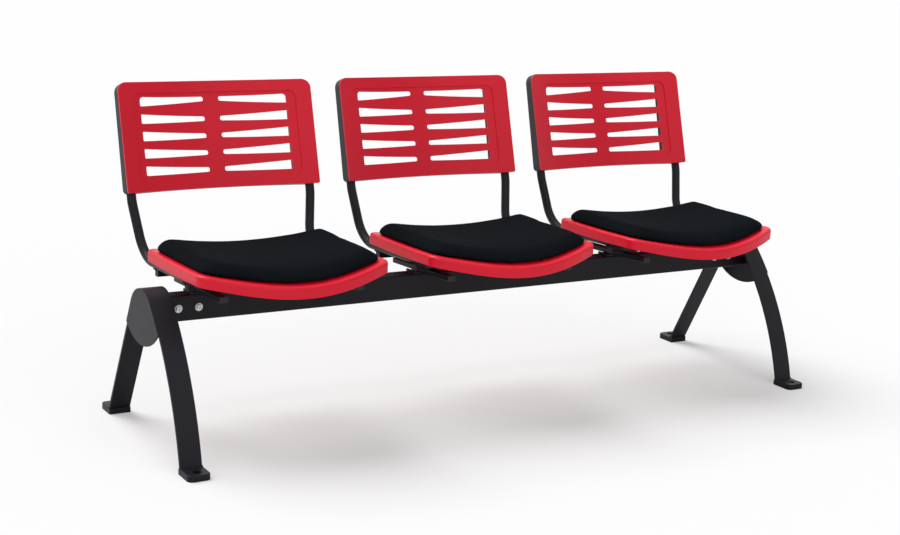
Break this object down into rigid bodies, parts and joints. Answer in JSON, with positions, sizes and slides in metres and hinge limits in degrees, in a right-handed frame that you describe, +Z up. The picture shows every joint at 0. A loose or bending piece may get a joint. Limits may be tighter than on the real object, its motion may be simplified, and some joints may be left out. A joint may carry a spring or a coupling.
{
  "type": "beam seating",
  "caption": "Beam seating on two arched legs: padded moulded seats and slotted curved backs on bent tubes, side by side on one box beam.",
  "frame": {"origin": "on the floor under the centre of the bounding box", "axes": "+X along the beam to the sitter's left, +Y from the front of the seats to the backs, +Z up"},
  "size_m": [1.7274, 0.6227, 0.7678],
  "materials": {
    "black_steel": "satin powder coat",
    "zinc_steel": "zinc plated",
    "red_plastic": "satin moulded",
    "black_plastic": "fine texture",
    "black_fabric": "tight weave"
  },
  "bodies": {
    "root": {"beam": "black_steel", "left_back_panel": "red_plastic", "left_back_screws": "zinc_steel", "left_back_shell": "black_plastic", "left_beam_bolts": "zinc_steel", "left_beam_stub": "black_steel", "left_frame_caps": "black_plastic", "left_frame_tube_l": "black_steel", "left_frame_tube_r": "black_steel", "left_front_crossbar": "black_steel", "left_front_foot": "black_steel", "left_leg_bar": "black_steel", "left_leg_shield": "black_steel", "left_rear_crossbar": "black_steel", "left_rear_foot": "black_steel", "left_seat_pad": "black_fabric", "left_seat_shell": "red_plastic", "left_shell_screws": "zinc_steel", "left_support_bar_l": "black_steel", "left_support_bar_r": "black_steel", "left_support_bolts": "zinc_steel", "middle_back_panel": "red_plastic", "middle_back_screws": "zinc_steel", "middle_back_shell": "black_plastic", "middle_frame_caps": "black_plastic", "middle_frame_tube_l": "black_steel", "middle_frame_tube_r": "black_steel", "middle_front_crossbar": "black_steel", "middle_rear_crossbar": "black_steel", "middle_seat_pad": "black_fabric", "middle_seat_shell": "red_plastic", "middle_shell_screws": "zinc_steel", "middle_support_bar_l": "black_steel", "middle_support_bar_r": "black_steel", "middle_support_bolts": "zinc_steel", "right_back_panel": "red_plastic", "right_back_screws": "zinc_steel", "right_back_shell": "black_plastic", "right_beam_bolts": "zinc_steel", "right_beam_stub": "black_steel", "right_frame_caps": "black_plastic", "right_frame_tube_l": "black_steel", "right_frame_tube_r": "black_steel", "right_front_crossbar": "black_steel", "right_front_foot": "black_steel", "right_leg_bar": "black_steel", "right_leg_shield": "black_steel", "right_rear_crossbar": "black_steel", "right_rear_foot": "black_steel", "right_seat_pad": "black_fabric", "right_seat_shell": "red_plastic", "right_shell_screws": "zinc_steel", "right_support_bar_l": "black_steel", "right_support_bar_r": "black_steel", "right_support_bolts": "zinc_steel"}
  },
  "joints": []
}
